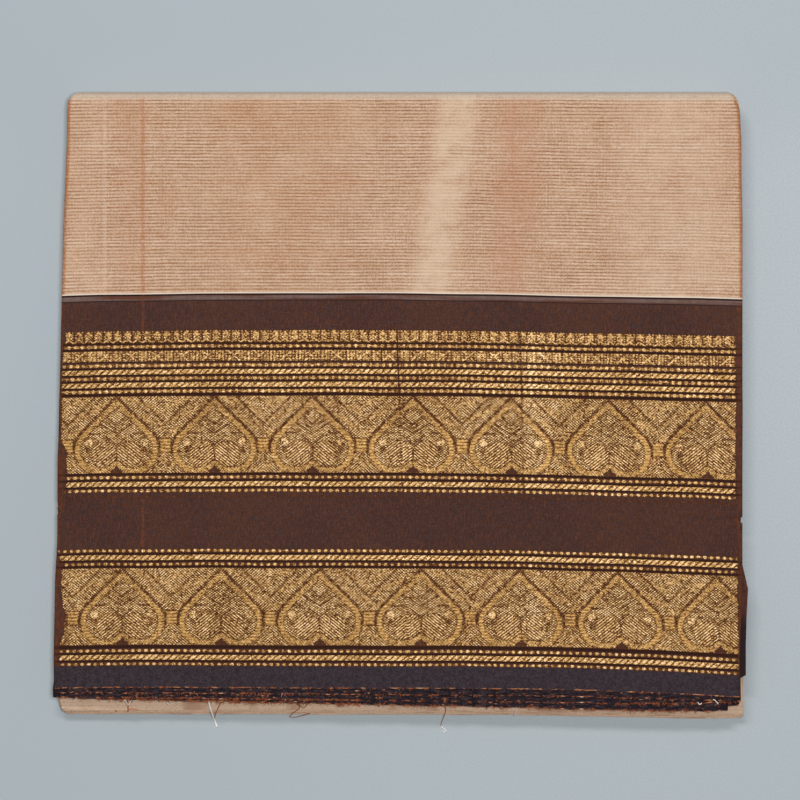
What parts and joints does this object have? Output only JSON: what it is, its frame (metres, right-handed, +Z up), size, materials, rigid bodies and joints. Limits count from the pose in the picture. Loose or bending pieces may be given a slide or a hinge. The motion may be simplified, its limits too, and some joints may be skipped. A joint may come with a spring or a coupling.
{
  "type": "folded saree",
  "caption": "Flat folded handloom saree: a plain striped field behind and a broad patterned border in front, with stepped selvedges along the front edge.",
  "frame": {"origin": "middle of the underside, where the folded cloth rests", "axes": "+X along the cloth's length, +Y from the selvedges to the rolled back fold, +Z up"},
  "size_m": [0.3436, 0.3116, 0.0184],
  "materials": {
    "field_cloth": "beige silk and cotton with fine rust weft lines, soft sheen",
    "under_cloth": "beige silk and cotton with fine rust weft lines, underside of the packet",
    "border_cloth": "dark brown border shot with rust, woven with gold zari bands and leaf motifs",
    "selvedge_cloth": "navy selvedge of the border with frayed rust weft ends",
    "hidden_cloth": "beige folds down the middle of the cloth, stacked"
  },
  "bodies": {
    "root": {"top_field": "field_cloth", "top_border": "border_cloth", "under_field": "under_cloth", "second_ply": "selvedge_cloth", "third_ply": "selvedge_cloth", "fourth_ply": "selvedge_cloth", "hidden_plies": "hidden_cloth"}
  },
  "joints": []
}
